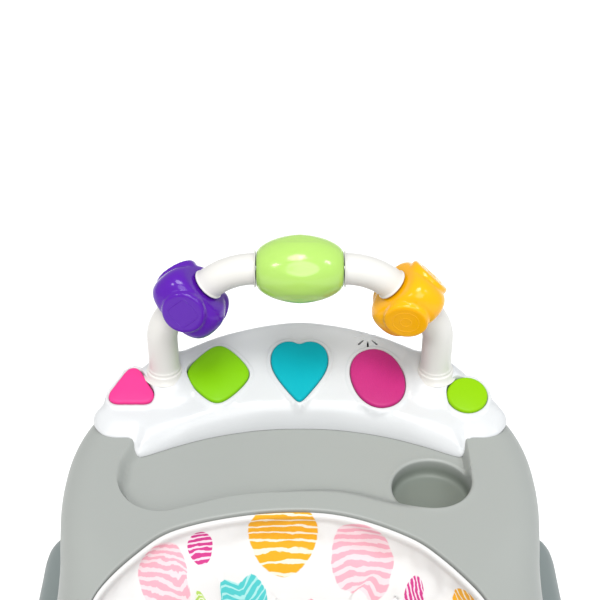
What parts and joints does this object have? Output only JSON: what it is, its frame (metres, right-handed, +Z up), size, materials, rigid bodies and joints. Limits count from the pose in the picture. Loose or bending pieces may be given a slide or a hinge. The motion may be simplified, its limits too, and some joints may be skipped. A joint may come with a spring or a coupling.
{
  "type": "bouncer seat",
  "caption": "Wheeled activity bouncer: soft bucket seat on springs in a moulded play tray with music console, toy bar and cup well, over a folding scissor frame.",
  "frame": {"origin": "on the floor, under the middle of the base", "axes": "+Z up, +Y the way the child faces, towards the console and toy bar, +X to the child's right"},
  "size_m": [0.68, 0.71, 0.6196],
  "materials": {
    "base_plastic": "fine satin grain, cool mid grey",
    "tray_plastic": "fine satin grain, cool light grey",
    "white_plastic": "satin gloss moulded white",
    "frame_paint": "white powder coat on steel tube",
    "steel": "zinc plated",
    "grip_rubber": "matt black",
    "wheel_plastic": "hard dark grey tread",
    "black_plastic": "matt black",
    "seat_print": "brushed polyester, white ground with coloured spots of drawn strokes",
    "battery_case": "foil-wrapped cell",
    "board": "solder-masked laminate",
    "membrane_rubber": "translucent silicone",
    "pink_plastic": "satin moulded in colour",
    "green_plastic": "satin moulded in colour",
    "teal_plastic": "satin, fine ribs moulded in",
    "magenta_plastic": "satin, fine dots moulded in",
    "lime_plastic": "satin moulded in colour",
    "purple_plastic": "high gloss moulded in colour",
    "orange_plastic": "high gloss moulded in colour",
    "barrel_plastic": "high gloss, slightly translucent lime"
  },
  "bodies": {
    "base": {"base_shell": "base_plastic", "base_bottom_cover": "base_plastic", "stair_stop_pads": "grip_rubber", "rear_left_wheel_bracket": "white_plastic", "rear_right_wheel_bracket": "white_plastic", "rear_left_axle": "steel", "rear_right_axle": "steel", "base_pivot_brackets": "base_plastic", "base_slide_guides": "base_plastic", "base_pivot_pins": "steel"},
    "front_left_caster": {"front_left_caster_fork": "white_plastic", "front_left_axle": "steel"},
    "front_left_wheel": {"front_left_wheel": "wheel_plastic"},
    "front_right_caster": {"front_right_caster_fork": "white_plastic", "front_right_axle": "steel"},
    "front_right_wheel": {"front_right_wheel": "wheel_plastic"},
    "rear_left_wheel": {"rear_left_wheel": "wheel_plastic"},
    "rear_right_wheel": {"rear_right_wheel": "wheel_plastic"},
    "outer_legs": {"outer_leg_frame": "frame_paint", "scissor_pins": "steel"},
    "inner_legs": {"inner_leg_frame": "frame_paint"},
    "left_lock_knob": {"left_lock_knob": "tray_plastic"},
    "right_lock_knob": {"right_lock_knob": "tray_plastic"},
    "seat": {"seat_ring": "white_plastic", "seat_fabric": "seat_print", "seat_back_pad": "seat_print"},
    "triangle_button": {"triangle_button": "pink_plastic"},
    "diamond_button": {"diamond_button": "green_plastic"},
    "heart_button": {"heart_button": "teal_plastic"},
    "oval_button": {"oval_button": "magenta_plastic"},
    "round_button": {"round_button": "lime_plastic"},
    "power_switch": {"power_switch": "black_plastic"},
    "left_tumbler": {"left_tumbler": "purple_plastic"},
    "barrel": {"barrel_front_shell": "barrel_plastic", "barrel_rear_shell": "barrel_plastic"},
    "right_tumbler": {"right_tumbler": "orange_plastic"},
    "tray": {"tray_pivot_brackets": "tray_plastic", "tray_slide_guides": "tray_plastic", "tray_pivot_pins": "steel", "tray_top": "tray_plastic", "tray_bottom": "tray_plastic", "bounce_guide_bolts": "steel", "bounce_springs": "steel", "console_housing": "white_plastic", "console_base": "white_plastic", "battery_door": "tray_plastic", "batteries": "battery_case", "speaker": "black_plastic", "circuit_board": "board", "button_membrane": "membrane_rubber", "bar_left_leg": "white_plastic", "bar_left_arm": "white_plastic", "bar_right_arm": "white_plastic", "bar_right_leg": "white_plastic", "left_tumbler_axle": "steel", "barrel_axle": "steel", "right_tumbler_axle": "steel", "assembly_screws": "steel"}
  },
  "joints": [
    {"name": "front_left_swivel", "type": "hinge", "parent": "base", "child": "front_left_caster", "pos_m": [-0.262, 0.215, 0.07], "axis": [0, 0, 1], "continuous": true},
    {"name": "front_left_roll", "type": "hinge", "parent": "front_left_caster", "child": "front_left_wheel", "pos_m": [-0.262, 0.199, 0.025], "axis": [1, 0, 0], "continuous": true},
    {"name": "front_right_swivel", "type": "hinge", "parent": "base", "child": "front_right_caster", "pos_m": [0.262, 0.215, 0.07], "axis": [0, 0, 1], "continuous": true},
    {"name": "front_right_roll", "type": "hinge", "parent": "front_right_caster", "child": "front_right_wheel", "pos_m": [0.262, 0.199, 0.025], "axis": [1, 0, 0], "continuous": true},
    {"name": "rear_left_roll", "type": "hinge", "parent": "base", "child": "rear_left_wheel", "pos_m": [-0.262, -0.262, 0.025], "axis": [1, 0, 0], "continuous": true},
    {"name": "rear_right_roll", "type": "hinge", "parent": "base", "child": "rear_right_wheel", "pos_m": [0.262, -0.262, 0.025], "axis": [1, 0, 0], "continuous": true},
    {"name": "frame_fold", "type": "hinge", "parent": "base", "child": "outer_legs", "pos_m": [0, -0.165, 0.112], "axis": [1, 0, 0], "range_deg": [-27, 0]},
    {"name": "scissor", "type": "hinge", "parent": "outer_legs", "child": "inner_legs", "pos_m": [0, 0.005, 0.221], "axis": [1, 0, 0], "range_deg": [0, 54]},
    {"name": "tray_level", "type": "hinge", "parent": "inner_legs", "child": "tray", "pos_m": [0, -0.165, 0.33], "axis": [1, 0, 0], "range_deg": [-27, 0]},
    {"name": "left_lock_turn", "type": "hinge", "parent": "outer_legs", "child": "left_lock_knob", "pos_m": [-0.25, 0.005, 0.221], "axis": [1, 0, 0], "range_deg": [-180, 0]},
    {"name": "right_lock_turn", "type": "hinge", "parent": "outer_legs", "child": "right_lock_knob", "pos_m": [0.25, 0.005, 0.221], "axis": [1, 0, 0], "range_deg": [0, 180]},
    {"name": "seat_bounce", "type": "slide", "parent": "tray", "child": "seat", "axis": [0, 0, -1], "range_m": [0, 0.022], "stiffness_N_per_m": 5200, "springref_m": -0.004, "deforming": ["bounce_springs"]},
    {"name": "triangle_press", "type": "slide", "parent": "tray", "child": "triangle_button", "axis": [0, 0.3007, -0.9537], "range_m": [0, 0.003], "stiffness_N_per_m": 400, "springref_m": -0.003},
    {"name": "diamond_press", "type": "slide", "parent": "tray", "child": "diamond_button", "axis": [0, 0.3007, -0.9537], "range_m": [0, 0.003], "stiffness_N_per_m": 400, "springref_m": -0.003},
    {"name": "heart_press", "type": "slide", "parent": "tray", "child": "heart_button", "axis": [0, 0.3007, -0.9537], "range_m": [0, 0.003], "stiffness_N_per_m": 400, "springref_m": -0.003},
    {"name": "oval_press", "type": "slide", "parent": "tray", "child": "oval_button", "axis": [0, 0.3007, -0.9537], "range_m": [0, 0.003], "stiffness_N_per_m": 400, "springref_m": -0.003},
    {"name": "round_press", "type": "slide", "parent": "tray", "child": "round_button", "axis": [0, 0.3007, -0.9537], "range_m": [0, 0.003], "stiffness_N_per_m": 400, "springref_m": -0.003},
    {"name": "power_slide", "type": "slide", "parent": "tray", "child": "power_switch", "axis": [0.9864, 0.1644, 0], "range_m": [0, 0.009]},
    {"name": "left_tumbler_spin", "type": "hinge", "parent": "tray", "child": "left_tumbler", "pos_m": [-0.122, 0.248, 0.54], "axis": [0.7071, 0, 0.7071], "continuous": true},
    {"name": "barrel_spin", "type": "hinge", "parent": "tray", "child": "barrel", "pos_m": [0, 0.248, 0.58113], "axis": [1, 0, 0], "continuous": true},
    {"name": "right_tumbler_spin", "type": "hinge", "parent": "tray", "child": "right_tumbler", "pos_m": [0.122, 0.248, 0.54], "axis": [-0.7071, 0, 0.7071], "continuous": true}
  ],
  "couplings": [
    {"joint": "scissor", "follows": "frame_fold", "ratio": -2},
    {"joint": "tray_level", "follows": "frame_fold", "ratio": 1}
  ]
}
